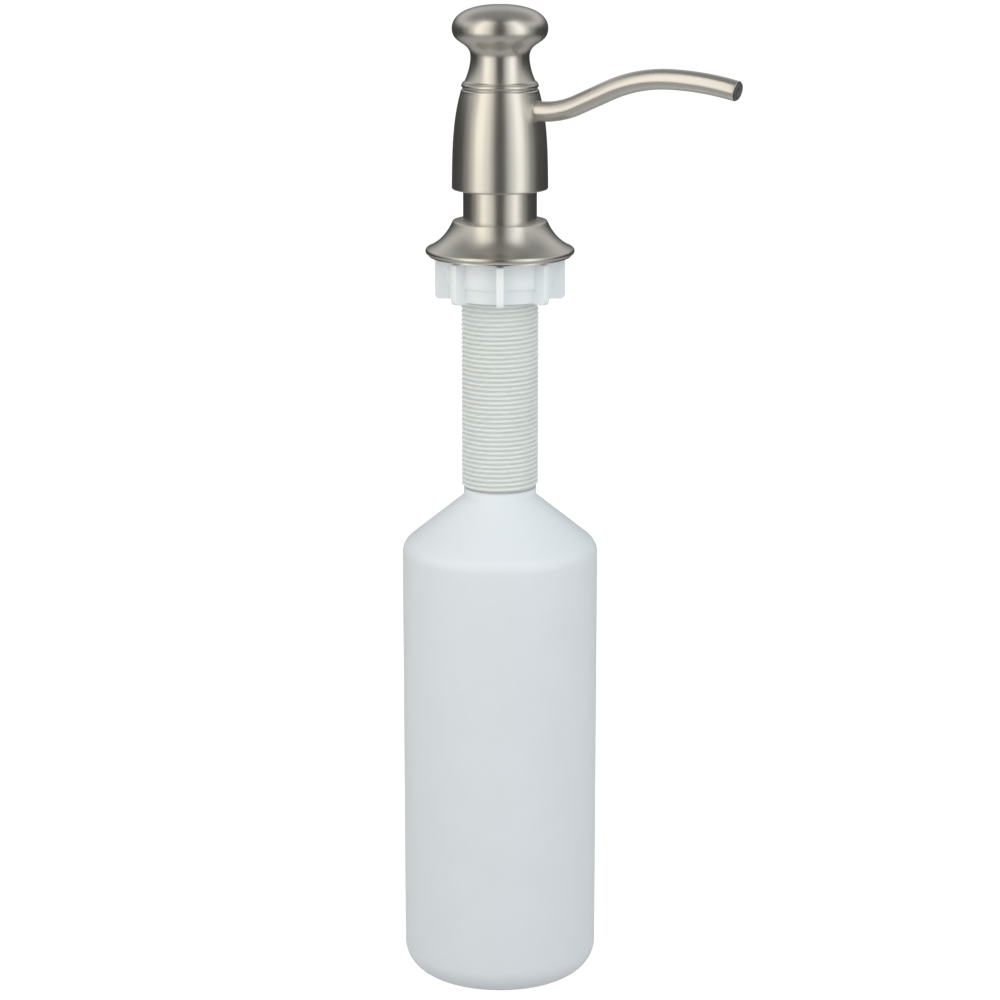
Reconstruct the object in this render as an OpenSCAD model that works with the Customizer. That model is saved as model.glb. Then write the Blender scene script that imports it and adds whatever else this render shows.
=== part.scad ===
// Counter-mounted soap pump dispenser. A metal head with a long spout is pressed down on a
// sleeve that rises from an escutcheon; a threaded shank passes through the counter, a winged
// nut clamps it from below, and a bottle hangs from the end of the shank.
// The origin is on the pump's axis at the counter's surface. +Z is up and the spout points
// along +X. All sizes are in millimetres.

/* [Head] */
// Distance that the head travels when it is pressed
stroke = 9.5; // [5:0.1:12]
// Gap left between the pressed head and the escutcheon
stroke_margin = 0.7; // [0.5:0.1:4]
// Wall of the barrel at its open lower end
barrel_wall = 2.78; // [1.8:0.01:5]
// Height of the barrel
barrel_h = 31.8; // [31:0.1:45]
// Fall of the barrel's radius from its lower end to its top
barrel_taper = 3.15; // [1.5:0.05:4]
// Rounding of the barrel's lower rim
barrel_rim = 0.5; // [0.2:0.1:0.8]
// How far the bead stands out from the barrel's top
bead_proud = 0.05; // [0:0.05:1]
// Height of the bead
bead_h = 2.3; // [1.6:0.1:4]
// Depth of the grooves above and below the bead
bead_groove = 0.45; // [0.2:0.05:0.8]
// Radius of the neck at its waist
waist_r = 9.4; // [8.6:0.1:11]
// Height of the waist above the bead
waist_h = 7.8; // [4:0.1:12]
// Largest radius of the knob
knob_r = 15.3; // [12:0.1:20]
// Height of the knob's widest part above the waist
knob_rise = 9.0; // [7:0.1:16]
// Height of the domed top above the knob's widest part
knob_dome = 7.5; // [4:0.1:12]
// Radius of the lightening hole inside the neck
neck_bore_r = 6.2; // [3:0.1:6.4]
// Wall of the guide bush inside the barrel
bush_wall = 0.75; // [0.5:0.05:1.2]
// Height of the guide bush
bush_h = 6; // [3:0.1:7]

/* [Spout] */
// Outer radius of the spout tube
spout_r = 3.2; // [2.6:0.05:3.8]
// Wall of the spout tube
spout_wall = 0.6; // [0.4:0.05:0.8]
// Metal under the spout's hole, above the head core's flange
spout_floor = 0.7; // [0.4:0.1:2]
// Straight length from the pump's axis to the first bend
spout_root_l = 15.1; // [14.2:0.1:30]
// Radius of the first bend
spout_bend_r = 30; // [10:1:60]
// Angle of the rising stretch
spout_rise_angle = 24.5; // [10:0.5:45]
// Length of the rising stretch
spout_rise_l = 11.9; // [5:0.1:40]
// Radius of the bend at the crest
spout_crest_r = 50; // [20:1:80]
// Radius of the drooping stretch
spout_droop_r = 102; // [60:1:200]
// Angle through which the spout droops past its crest
spout_droop_angle = 13; // [6:0.1:30]
// Length of the outlet insert inside the spout
nozzle_l = 5; // [3:0.5:8]

/* [Sleeve and escutcheon] */
// Outer radius of the sleeve that the head slides on
collar_r = 11.85; // [11.6:0.05:15]
// Wall of the sleeve
collar_wall = 0.65; // [0.6:0.05:1.1]
// How far the sleeve reaches into the raised barrel
collar_lap = 8.1; // [7.5:0.1:12]
// Radius of the escutcheon's rim
escutcheon_r = 24; // [22.5:0.1:34]
// Width of the flat ring on top of the escutcheon, around the sleeve
escutcheon_ledge = 3.3; // [2:0.1:5]
// Height of the escutcheon above the counter
escutcheon_h = 11.3; // [8:0.1:18]
// Wall of the escutcheon
escutcheon_wall = 1.0; // [0.8:0.05:1.5]
// Rounding radius of the escutcheon's rim
escutcheon_lip = 0.9; // [0.6:0.05:1.3]
// Thickness of the gasket under the escutcheon
deck_gasket_t = 0.8; // [0.5:0.1:1.5]

/* [Shank and nut] */
// Crest radius of the shank's thread
shank_r = 12.5; // [12.2:0.1:15.5]
// Pitch of the shank's thread
shank_pitch = 1.5; // [1:0.1:3]
// Depth of the shank's thread
shank_thread_depth = 0.7; // [0.3:0.05:0.8]
// Wall of the shank, from its bore to the thread's crest
shank_wall = 2.2; // [1.8:0.05:3]
// Length of the shank below the counter's surface
shank_l = 75.5; // [50:0.5:110]
// Wall of the spigot that stands inside the sleeve
spigot_wall = 0.88; // [0.6:0.02:1.2]
// Thickness of the shank's head
shank_head_t = 2.8; // [1.5:0.1:3.5]
// Thickness of the friction washer above the nut
washer_t = 0.5; // [0.5:0.1:2]
// Width of the friction washer beyond the nut's hub
washer_ledge = 1.3; // [0:0.1:3]
// Overall height of the nut
nut_h = 13.2; // [8:0.1:20]
// Wall of the nut's upper hub
nut_hub_wall = 4.65; // [3:0.05:6]
// Step from the nut's upper hub in to its lower hub
nut_step = 0.8; // [0.2:0.1:1.5]
// Height of the nut's lower hub
nut_skirt_h = 4.6; // [2:0.1:7]
// Length of a wing beyond the upper hub
wing_l = 3.8; // [2:0.1:10]
// Thickness of a wing
wing_t = 2.3; // [1.5:0.1:4]
// Number of wings
wing_count = 8; // [3:1:10]
// Direction of the first wing at rest
wing_phase = -62; // [-90:1:90]

/* [Pump] */
// Outer radius of the pump's stem
stem_r = 3.0; // [2.4:0.05:3.2]
// Bore radius of the stem
stem_bore_r = 1.5; // [1:0.05:1.8]
// Bore radius of the pump's cylinder
cylinder_bore_r = 6.9; // [6.5:0.05:7.3]
// Wall of the cylinder
cylinder_wall = 1.1; // [0.7:0.05:1.5]
// Depth of the cylinder below the sleeve's top
cylinder_depth = 49; // [44:0.5:70]
// Height of the piston
piston_h = 6; // [4.5:0.1:8]
// Radius of the ball valve at the inlet
inlet_ball_r = 2.0; // [1.7:0.05:2.3]
// Radius of the ball valve in the stem
outlet_ball_r = 1.8; // [1.5:0.05:1.9]
// Radius of the spring's wire
spring_wire_r = 0.45; // [0.3:0.05:0.6]
// Mean radius of the spring's coils
spring_r = 5.1; // [4.7:0.05:5.6]
// Number of turns in the spring
spring_turns = 9; // [5:1:12]
// Thickness of the pump cap's rim
cap_t = 1.4; // [1:0.1:1.8]
// Outer radius of the dip tube
dip_tube_r = 3.0; // [2.4:0.05:3.6]
// Wall of the dip tube
dip_tube_wall = 0.8; // [0.5:0.05:1]
// Gap between the dip tube and the bottle's floor
dip_tube_gap = 3.8; // [2:0.1:15]

/* [Bottle] */
// Radius of the bottle under its shoulder
bottle_r = 32; // [28:0.1:42]
// Widening of the bottle towards its base
bottle_draft = 0; // [0:0.05:1]
// Height of the bottle below the shank
bottle_h = 166.5; // [120:0.5:230]
// Wall of the bottle
bottle_wall = 1.0; // [0.8:0.05:1.6]
// Step from the shank's crest in to the bottle's neck ring
neck_step = 0.65; // [0.1:0.05:1]
// Height of the neck ring
neck_h = 2.8; // [1.5:0.1:6]
// Height of the threaded finish inside the shank
finish_h = 9.8; // [6:0.1:16]
// Wall of the threaded finish
finish_wall = 1.6; // [1.2:0.05:2]
// Slope of the shoulder below horizontal
shoulder_angle = 39; // [25:1:50]
// Rounding of the shoulder
shoulder_round = 6; // [3:0.5:12]
// Rounding of the base's edge
base_round = 9.5; // [5:0.5:14]
// Depth of the hollow under the base
base_hollow = 2.2; // [1:0.1:5]
// Thickness of the seal above the neck ring
bottle_seal_t = 0.7; // [0.4:0.1:1.5]

/* [Fits] */
// Radial clearance of a sliding or turning fit
running_fit = 0.05; // [0.02:0.01:0.1]
// Radial clearance of pieces that are pushed together for good
press_fit = 0.02; // [0.01:0.01:0.05]
// Gap between faces of pieces that move apart
face_gap = 0.05; // [0.03:0.01:0.2]
// Gap between the counter's surface and the washer at rest
deck_gap = 0.2; // [0.2:0.05:1]

/* [Hidden] */
$fn = 96;

// Tiny overlap of shapes that are joined into one solid
eps = 0.01;
// How far a cutting shape runs past the faces that it cuts
cut = 1;
// Small chamfer on turned and moulded edges
chamfer = 0.3;
// Number of steps in a rounded stretch of an outline
arc_steps = 10;

// Sleeve and barrel, from the counter up
barrel_z = escutcheon_h + stroke + stroke_margin;
barrel_top_z = barrel_z + barrel_h;
collar_z = deck_gasket_t + shank_head_t;
collar_top_z = barrel_z + collar_lap;
collar_bore_r = collar_r - collar_wall;
escutcheon_top_r = collar_r + escutcheon_ledge;

// Inside of the head: the bush, then the core's flange, then the core's pocket
bush_z = barrel_z + 1;
bush_r = collar_r + running_fit + bush_wall;
barrel_bore_r = bush_r + press_fit;
barrel_r = barrel_bore_r + barrel_wall;
barrel_top_r = barrel_r - barrel_taper;
press_gap = 1.1;
bush_lead = [0.4, 0.5];
core_flange_t = 1.4;
core_z = collar_top_z + cap_t + stroke + press_gap;
pocket_z = core_z + core_flange_t;
pocket_r = 9;
spout_z = pocket_z + spout_floor + spout_r;
stem_rise = 3.4;
core_roof_t = 1.4;
pocket_gap = 0.2;
stem_top_z = spout_z + stem_rise;
core_top_z = stem_top_z + core_roof_t;
pocket_top_z = core_top_z + pocket_gap;
neck_bore_top_gap = 6;

// Share of the barrel's fall that is curved, and how late the curve sets in
barrel_curved = 0.87;
barrel_curve_power = 3.4;
barrel_edge = 0.7;

// Neck and knob; each curve's leads say how far it follows its ends' directions
bead_edge = 0.15;
bead_sweep = 75;
neck_foot_step = 0.75;
neck_lead = [-0.95, 1.8];
neck_waist_lead = 0.35;
knob_waist_lead = 0.57;
knob_side_lead = 0.57;
dome_side_lead = 0.59;
dome_top_lead = 0.655;
bead_r = barrel_top_r + bead_proud;
bead_z = barrel_top_z;
neck_z = bead_z + bead_h;
waist_z = neck_z + waist_h;
knob_z = waist_z + knob_rise;
head_top_z = knob_z + knob_dome;

// Spout, its liner and the seal around the liner's root
spout_bore_r = spout_r - spout_wall;
spout_root_gap = 0.3;
spout_start_x = pocket_r + spout_root_gap;
liner_r = spout_bore_r - running_fit;
liner_wall = 0.5;
liner_start_x = 6;
liner_end_gap = 0.1;
spout_seal_r = liner_r + 1;
spout_seal_x = liner_start_x + 0.8;
spout_seal_l = 1.1;
rise_end_x = spout_root_l + spout_bend_r * sin(spout_rise_angle)
    + spout_rise_l * cos(spout_rise_angle);
rise_end_z = spout_z + spout_bend_r * (1 - cos(spout_rise_angle))
    + spout_rise_l * sin(spout_rise_angle);
crest_x = rise_end_x + spout_crest_r * sin(spout_rise_angle);
crest_z = rise_end_z + spout_crest_r * (1 - cos(spout_rise_angle));
tip_x = crest_x + spout_droop_r * sin(spout_droop_angle);
tip_z = crest_z - spout_droop_r * (1 - cos(spout_droop_angle));
spout_sides = 24;
spout_steps = 6;

// Outlet insert, slim enough for the bend of the spout's end
nozzle_bore_r = 1.1;
nozzle_mouth_r = 1.5;
nozzle_lip_t = 0.5;
nozzle_lip_r = spout_r - 0.4;
nozzle_lip_edge = 0.15;
nozzle_angle = nozzle_l / spout_droop_r * 180 / PI;
nozzle_r = spout_bore_r * cos(180 / spout_sides) - nozzle_l * nozzle_l / (2 * spout_droop_r)
    - running_fit;

// Escutcheon: its flare's edges and leads, its foot and the gasket inside it
flare_top_step = [0.1, 0.2];
flare_foot_step = [0.55, 0.25];
flare_top_lead = [0.16, -0.37];
flare_foot_lead = [-0.54, 0.22];
escutcheon_foot = 2;
escutcheon_foot_w = 0.9;
escutcheon_foot_h = 0.5;
escutcheon_roof_step = 0.4;
gasket_gap = 0.2;
gasket_bore_gap = 0.4;

// Shank, washer and nut
spigot_r = collar_bore_r - press_fit;
spigot_bore_r = spigot_r - spigot_wall;
shank_bore_r = shank_r - shank_wall;
shank_head_gap = 0.35;
shank_head_r = lookup(collar_z, [for (p = flare(escutcheon_wall)) [p[1], p[0]]])
    - shank_head_gap;
washer_top_z = -deck_gap;
nut_top_z = washer_top_z - washer_t - face_gap;
nut_bottom_z = nut_top_z - nut_h;
nut_bore_r = shank_r + running_fit;
nut_hub_r = nut_bore_r + nut_hub_wall;
nut_skirt_r = nut_hub_r - nut_step;
wing_r = nut_hub_r + wing_l;
washer_r = nut_hub_r + washer_ledge;
thread_top_z = -1;
thread_end_chamfer = 0.8;
thread_crest = 0.2;
thread_flank = 0.3;
shank_head_edge = 0.4;
nut_hub_gap = 0.5;
wing_depth = 1.2;
wing_top_gap = 0.1;
wing_top_edge = 0.2;
wing_corner = 1.2;
thread_turns = floor((shank_l + thread_top_z - thread_end_chamfer) / shank_pitch);

// Pump, from the cap down
cap_plug_l = 5;
cap_plug_wall = 1.6;
cap_boss_l = 5.2;
cap_r = collar_r - 0.1;
cap_boss_r = cylinder_bore_r - 0.4;
stem_seal_r = stem_r + 1.5;
stem_seal_h = 2;
cylinder_flange_t = 1.5;
cylinder_gasket_t = 0.5;
cylinder_gasket_gap = 0.3;
cylinder_flange_z = collar_top_z - cap_plug_l - cylinder_flange_t;
spigot_top_z = cylinder_flange_z - cylinder_gasket_t;
cylinder_flange_r = collar_bore_r - 0.25;
cylinder_r = cylinder_bore_r + cylinder_wall;
cylinder_floor_z = collar_top_z - cylinder_depth;
cylinder_floor_t = 2;
inlet_seat_r = 0.7 * inlet_ball_r;
stub_l = 10;
stub_wall = 1.2;
dip_tube_top_z = cylinder_floor_z - cylinder_floor_t - 0.2;
stub_r = dip_tube_r + press_fit + stub_wall;

// Piston and stem
piston_top_gap = 1;
piston_top_z = collar_top_z - cap_boss_l - piston_top_gap;
piston_z = piston_top_z - piston_h;
piston_r = cylinder_bore_r - 0.4;
piston_seal_z = piston_z + 1.3;
piston_seal_h = 2;
piston_seal_inner_r = piston_r - 1;
piston_lip = [0.15, 0.4];
stem_z = piston_z + 2.2;
outlet_seat_r = 1.2;
outlet_chamber_r = outlet_ball_r + 0.3;
outlet_chamber_h = 5;
stem_port_r = 1;
gallery_r = stem_r + 1.2;
gallery_h = 3.4;

// Spring, between the ball cage and the piston
cage_base_t = 1;
cage_r = inlet_ball_r + 1.6;
cage_wall = 1;
cage_h = 7;
cage_window_w = 1.6;
cage_window_h = 3;
cage_window_z = cylinder_floor_z + cage_base_t + 1;
cage_hole_r = 1;
spring_low_z = cylinder_floor_z + cage_base_t;
spring_h = piston_z - spring_low_z;
spring_sides = 6;
spring_steps = 18;

// Bottle
neck_r = shank_r - neck_step;
neck_top_z = -shank_l - face_gap - bottle_seal_t - face_gap;
neck_base_z = neck_top_z - neck_h;
bottle_base_z = neck_top_z - bottle_h;
finish_r = shank_bore_r - running_fit;
finish_bore_r = finish_r - finish_wall;
bottle_foot_r = bottle_r + bottle_draft;
bottle_seal_gap = [0.15, 0.1];
foot_ring_w = 3;
hollow_slope_w = 3;
hollow_slope = 0.6;
base_floor_z = bottle_base_z + base_hollow + bottle_wall;
dip_tube_end_z = base_floor_z + dip_tube_gap;

// Points of an arc about c, from angle a0 to a1
function arc(c, r, a0, a1, steps = arc_steps) =
    [for (i = [0:steps]) let (a = a0 + (a1 - a0) * i / steps) [c[0] + r * cos(a), c[1] + r * sin(a)]];

// Points of a cubic curve from a to d, steered by b and c; the first point is left out
function curve(a, b, c, d, steps = arc_steps) =
    [for (i = [1:steps]) let (t = i / steps, s = 1 - t)
        s * s * s * a + 3 * s * s * t * b + 3 * s * t * t * c + t * t * t * d];

// Radius of the barrel's swelling side at height z
function barrel_side_r(z) =
    let (u = (z - barrel_z) / barrel_h, fall = barrel_r - barrel_top_r)
    barrel_r - fall * (barrel_curved * pow(u, barrel_curve_power) + (1 - barrel_curved) * u);

module ring(outer_r, inner_r, z0, z1) {
    rotate_extrude() translate([inner_r, z0]) square([outer_r - inner_r, z1 - z0]);
}

// ---- Head -------------------------------------------------------------------------------

module head_outline() {
    rim = [barrel_side_r(barrel_z + barrel_rim) - barrel_rim, barrel_z + barrel_rim];
    side = [for (i = [1:16]) let (z = barrel_z + barrel_rim + (barrel_h - barrel_rim - barrel_edge) * i / 16)
        [barrel_side_r(z), z]];
    edge_c = [barrel_side_r(bead_z - barrel_edge) - barrel_edge, bead_z - barrel_edge];
    bead_c = [bead_r - bead_h / 2, bead_z + bead_h / 2];
    neck_foot = [bead_r - bead_groove - neck_foot_step, neck_z];
    waist = [waist_r, waist_z];
    knob = [knob_r, knob_z];
    top = [0, head_top_z];
    polygon(concat(
        [[0, barrel_z]],
        arc(rim, barrel_rim, -90, 0, 5),
        side,
        arc(edge_c, barrel_edge, 15, 90, 5),
        [[bead_r - bead_groove, bead_z + bead_edge]],
        arc(bead_c, bead_h / 2 - bead_edge, -bead_sweep, bead_sweep, 8),
        [neck_foot],
        curve(neck_foot, neck_foot + neck_lead, waist - [0, neck_waist_lead * waist_h], waist),
        curve(waist, waist + [0, knob_waist_lead * knob_rise],
              knob - [0, knob_side_lead * knob_rise], knob, 14),
        curve(knob, knob + [0, dome_side_lead * knob_dome],
              top + [dome_top_lead * knob_r, 0], top, 14)));
}

module head_shell() {
    color("silver")
    difference() {
        rotate_extrude() head_outline();
        translate([0, 0, barrel_z - cut]) cylinder(r = barrel_bore_r, h = pocket_z - barrel_z + cut);
        translate([0, 0, pocket_z - eps]) cylinder(r = pocket_r, h = pocket_top_z - pocket_z);
        translate([0, 0, pocket_top_z - 2 * eps])
            cylinder(r = neck_bore_r, h = head_top_z - neck_bore_top_gap - pocket_top_z);
        translate([pocket_r / 2, 0, spout_z]) rotate([0, 90, 0])
            cylinder(r = spout_r + press_fit, h = barrel_r);
    }
}

module head_core() {
    color("gainsboro")
    difference() {
        union() {
            ring(barrel_bore_r - press_fit, stem_r + running_fit, core_z, pocket_z);
            translate([0, 0, pocket_z - eps])
                cylinder(r = pocket_r - press_fit, h = core_top_z - pocket_z);
        }
        translate([0, 0, core_z - cut])
            cylinder(r = stem_r + running_fit, h = stem_top_z + face_gap - core_z + cut);
        translate([0, 0, spout_z - gallery_h / 2]) cylinder(r = gallery_r, h = gallery_h);
        translate([0, 0, spout_z]) rotate([0, 90, 0]) cylinder(r = liner_r - liner_wall, h = pocket_r);
        translate([liner_start_x, 0, spout_z]) rotate([0, 90, 0])
            cylinder(r = liner_r + press_fit, h = pocket_r);
        translate([spout_seal_x, 0, spout_z]) rotate([0, 90, 0])
            cylinder(r = spout_seal_r, h = pocket_r);
    }
}

module guide_bush() {
    color("whitesmoke")
    rotate_extrude()
    polygon([[collar_r + running_fit, bush_z + bush_lead[1]],
             [collar_r + running_fit + bush_lead[0], bush_z],
             [bush_r, bush_z], [bush_r, bush_z + bush_h], [collar_r + running_fit, bush_z + bush_h]]);
}

// ---- Spout ------------------------------------------------------------------------------

// Stations of the spout's centre line, each [x, z, slope]: up a bend of radius r from the
// station s, through the angle a, and the same for a bend that turns down
function bend_up(s, r, a, steps = spout_steps) =
    [for (i = [1:steps]) let (t = s[2] + a * i / steps)
        [s[0] + r * (sin(t) - sin(s[2])), s[1] + r * (cos(s[2]) - cos(t)), t]];
function bend_down(s, r, a, steps = spout_steps) =
    [for (i = [1:steps]) let (t = s[2] - a * i / steps)
        [s[0] + r * (sin(s[2]) - sin(t)), s[1] + r * (cos(t) - cos(s[2])), t]];

// All stations from start_x on the pump's side to droop degrees past the crest
function spout_stations(start_x, droop) =
    let (root = [spout_root_l, spout_z, 0],
         rise_end = [rise_end_x, rise_end_z, spout_rise_angle],
         crest = [crest_x, crest_z, 0])
    concat([[start_x, spout_z, 0], root], bend_up(root, spout_bend_r, spout_rise_angle),
           [rise_end], bend_down(rise_end, spout_crest_r, spout_rise_angle),
           bend_down(crest, spout_droop_r, droop));

// Points of a circle of radius r across each station, one station after another
function station_rings(stations, r) =
    [for (s = stations, i = [0:spout_sides - 1]) let (a = 360 * i / spout_sides)
        [s[0] - r * sin(a) * sin(s[2]), r * cos(a), s[1] + r * sin(a) * cos(s[2])]];

// A tube swept through the stations
module swept_tube(stations, outer_r, inner_r) {
    n = spout_sides;
    last = len(stations) - 1;
    bore = n * len(stations);
    points = concat(station_rings(stations, outer_r), station_rings(stations, inner_r));
    skin = [for (k = [0:last - 1], i = [0:n - 1]) let (j = (i + 1) % n)
        [k * n + j, k * n + i, (k + 1) * n + i, (k + 1) * n + j]];
    lining = [for (k = [0:last - 1], i = [0:n - 1]) let (j = (i + 1) % n)
        [bore + k * n + i, bore + k * n + j, bore + (k + 1) * n + j, bore + (k + 1) * n + i]];
    start = [for (i = [0:n - 1]) let (j = (i + 1) % n) [i, j, bore + j, bore + i]];
    finish = [for (i = [0:n - 1]) let (j = (i + 1) % n, k = last * n)
        [k + j, k + i, bore + k + i, bore + k + j]];
    polyhedron(points, concat(skin, lining, start, finish), convexity = 10);
}

module spout_tube() {
    color("silver")
    swept_tube(spout_stations(spout_start_x, spout_droop_angle), spout_r, spout_bore_r);
}

module spout_liner() {
    color("white")
    swept_tube(spout_stations(liner_start_x, spout_droop_angle - nozzle_angle - liner_end_gap),
               liner_r, liner_r - liner_wall);
}

module spout_seal() {
    color("dimgray")
    translate([spout_seal_x + face_gap, 0, spout_z]) rotate([0, 90, 0])
        ring(spout_seal_r - press_fit, liner_r + press_fit, 0, spout_seal_l);
}

module nozzle_insert() {
    color("dimgray")
    translate([tip_x, 0, tip_z]) rotate([0, 90 + spout_droop_angle, 0])
        rotate_extrude()
        polygon([[nozzle_bore_r, -nozzle_l], [nozzle_r, -nozzle_l], [nozzle_r, face_gap],
                 [nozzle_lip_r - nozzle_lip_edge, face_gap], [nozzle_lip_r, nozzle_lip_t / 2],
                 [nozzle_lip_r - 2 * nozzle_lip_edge, nozzle_lip_t],
                 [nozzle_mouth_r, nozzle_lip_t], [nozzle_bore_r, 0]]);
}

// ---- Plunger ----------------------------------------------------------------------------

module pump_stem() {
    color("white")
    difference() {
        translate([0, 0, stem_z]) cylinder(r = stem_r, h = stem_top_z - stem_z);
        translate([0, 0, stem_z - cut]) cylinder(r = stem_bore_r, h = stem_top_z - stem_z);
        translate([0, 0, stem_z - cut]) cylinder(r = outlet_chamber_r, h = outlet_chamber_h + cut);
        for (a = [0, 90])
            rotate([0, 0, a]) translate([-stem_r - cut, 0, spout_z]) rotate([0, 90, 0])
                cylinder(r = stem_port_r, h = 2 * (stem_r + cut));
    }
}

module piston() {
    color("white")
    difference() {
        translate([0, 0, piston_z]) cylinder(r = piston_r, h = piston_h);
        translate([0, 0, piston_z - cut]) cylinder(r = outlet_seat_r, h = piston_h + 2 * cut);
        translate([0, 0, stem_z]) cylinder(r = stem_r + press_fit, h = piston_h);
        ring(piston_r + cut, piston_seal_inner_r, piston_seal_z, piston_seal_z + piston_seal_h);
    }
}

module piston_seal() {
    lip_r = cylinder_bore_r - running_fit;
    color("dimgray")
    rotate_extrude()
    polygon([[piston_seal_inner_r + press_fit, piston_seal_z + press_fit],
             [lip_r - piston_lip[0], piston_seal_z + press_fit],
             [lip_r, piston_seal_z + piston_lip[1]],
             [lip_r, piston_seal_z + piston_seal_h - piston_lip[1]],
             [lip_r - piston_lip[0], piston_seal_z + piston_seal_h - press_fit],
             [piston_seal_inner_r + press_fit, piston_seal_z + piston_seal_h - press_fit]]);
}

// A ball resting on the rim of a round seat
module ball(r, seat_r, seat_z) {
    translate([0, 0, seat_z + sqrt(r * r - seat_r * seat_r) + press_fit]) sphere(r = r);
}

module outlet_ball() {
    color("lightsteelblue") ball(outlet_ball_r, outlet_seat_r, stem_z);
}

// ---- Pump body --------------------------------------------------------------------------

module pump_cap() {
    color("white")
    difference() {
        union() {
            translate([0, 0, collar_top_z]) cylinder(r = cap_r, h = cap_t);
            ring(collar_bore_r - running_fit, collar_bore_r - running_fit - cap_plug_wall,
                 collar_top_z - cap_plug_l, collar_top_z + eps);
            translate([0, 0, collar_top_z - cap_boss_l]) cylinder(r = cap_boss_r, h = cap_boss_l + eps);
        }
        translate([0, 0, collar_top_z - cap_boss_l - cut])
            cylinder(r = stem_r + running_fit, h = cap_boss_l + cap_t + 2 * cut);
        translate([0, 0, collar_top_z - cap_boss_l - cut])
            cylinder(r = stem_seal_r, h = stem_seal_h + cut);
    }
}

module stem_seal() {
    color("dimgray")
    ring(stem_seal_r - press_fit, stem_r + running_fit,
         collar_top_z - cap_boss_l, collar_top_z - cap_boss_l + stem_seal_h - press_fit);
}

module pump_cylinder() {
    color("white")
    difference() {
        union() {
            translate([0, 0, cylinder_flange_z]) cylinder(r = cylinder_flange_r, h = cylinder_flange_t);
            translate([0, 0, cylinder_floor_z - cylinder_floor_t])
                cylinder(r = cylinder_r, h = cylinder_flange_z - cylinder_floor_z + cylinder_floor_t + eps);
            translate([0, 0, cylinder_floor_z - stub_l]) cylinder(r = stub_r, h = stub_l);
        }
        translate([0, 0, cylinder_floor_z])
            cylinder(r = cylinder_bore_r, h = cylinder_flange_z + cylinder_flange_t - cylinder_floor_z + cut);
        translate([0, 0, cylinder_floor_z - stub_l]) cylinder(r = inlet_seat_r, h = stub_l + cut);
        translate([0, 0, cylinder_floor_z - stub_l - cut])
            cylinder(r = dip_tube_r + press_fit, h = stub_l - cylinder_floor_t + cut);
    }
}

module cylinder_gasket() {
    color("dimgray")
    ring(cylinder_flange_r, cylinder_r + cylinder_gasket_gap, spigot_top_z, cylinder_flange_z);
}

module ball_cage() {
    color("ivory")
    difference() {
        union() {
            translate([0, 0, cylinder_floor_z])
                cylinder(r = cylinder_bore_r - press_fit, h = cage_base_t);
            translate([0, 0, cylinder_floor_z]) cylinder(r = cage_r, h = cage_h);
        }
        translate([0, 0, cylinder_floor_z - cut])
            cylinder(r = cage_r - cage_wall, h = cage_h - cage_wall + cut);
        translate([0, 0, cylinder_floor_z]) cylinder(r = cage_hole_r, h = cage_h + cut);
        for (a = [0, 90])
            rotate([0, 0, a])
            translate([-cage_r - cut, -cage_window_w / 2, cage_window_z])
                cube([2 * (cage_r + cut), cage_window_w, cage_window_h]);
    }
}

module inlet_ball() {
    color("lightsteelblue") ball(inlet_ball_r, inlet_seat_r, cylinder_floor_z);
}

// The wire's section at a turn t of the helix, as a ring of points
function wire_ring(t) =
    let (rise = spring_low_z + spring_wire_r + press_fit,
         z = rise + (spring_h - 2 * spring_wire_r - 2 * press_fit) * t / spring_turns)
    [for (i = [0:spring_sides - 1]) let (a = 360 * i / spring_sides,
        r = spring_r + spring_wire_r * cos(a))
        [r * cos(360 * t), r * sin(360 * t), z + spring_wire_r * sin(a)]];

module return_spring() {
    rings = spring_turns * spring_steps;
    points = [for (k = [0:rings]) each wire_ring(k / spring_steps)];
    start = [for (i = [0:spring_sides - 1]) i];
    finish = [for (i = [spring_sides - 1:-1:0]) rings * spring_sides + i];
    sides = [for (k = [0:rings - 1], i = [0:spring_sides - 1])
        let (j = (i + 1) % spring_sides, low = k * spring_sides, high = low + spring_sides)
        [low + j, low + i, high + i, high + j]];
    color("silver") polyhedron(points, concat([start], sides, [finish]), convexity = 10);
}

module dip_tube() {
    color("aliceblue")
    ring(dip_tube_r, dip_tube_r - dip_tube_wall, dip_tube_end_z, dip_tube_top_z);
}

// ---- Deck unit --------------------------------------------------------------------------

module collar() {
    color("silver")
    rotate_extrude()
    polygon([[collar_bore_r, collar_z], [collar_r, collar_z], [collar_r, collar_top_z - chamfer],
             [collar_r - chamfer, collar_top_z], [collar_bore_r, collar_top_z]]);
}

// Outline of the flared side, pulled in by the distance d
function flare(d) =
    let (top = [escutcheon_top_r + flare_top_step[0] - d, escutcheon_h - flare_top_step[1] - d],
         foot = [escutcheon_r - flare_foot_step[0] - d,
                 escutcheon_foot_h + 2 * escutcheon_lip + flare_foot_step[1] - d],
         spread = [foot[0] - top[0], top[1] - foot[1]])
    concat([top], curve(top, top + [flare_top_lead[0] * spread[0], flare_top_lead[1] * spread[1]],
                        foot + [flare_foot_lead[0] * spread[0], flare_foot_lead[1] * spread[1]],
                        foot, 14));

module escutcheon() {
    lip_c = [escutcheon_r - escutcheon_lip, escutcheon_foot_h + escutcheon_lip];
    foot_r = escutcheon_r - escutcheon_foot;
    inner = flare(escutcheon_wall);
    roof_z = escutcheon_h - escutcheon_wall - flare_top_step[1];
    color("silver")
    rotate_extrude()
    polygon(concat(
        [[collar_r + press_fit, escutcheon_h], [escutcheon_top_r - chamfer / 2, escutcheon_h]],
        flare(0),
        arc(lip_c, escutcheon_lip, 60, -90, 10),
        [[foot_r + escutcheon_foot_w, escutcheon_foot_h], [foot_r + escutcheon_foot_w, 0], [foot_r, 0]],
        [for (i = [len(inner) - 1:-1:0]) inner[i]],
        [[escutcheon_top_r - escutcheon_wall - escutcheon_roof_step, roof_z],
         [collar_r + press_fit, roof_z]]));
}

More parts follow.
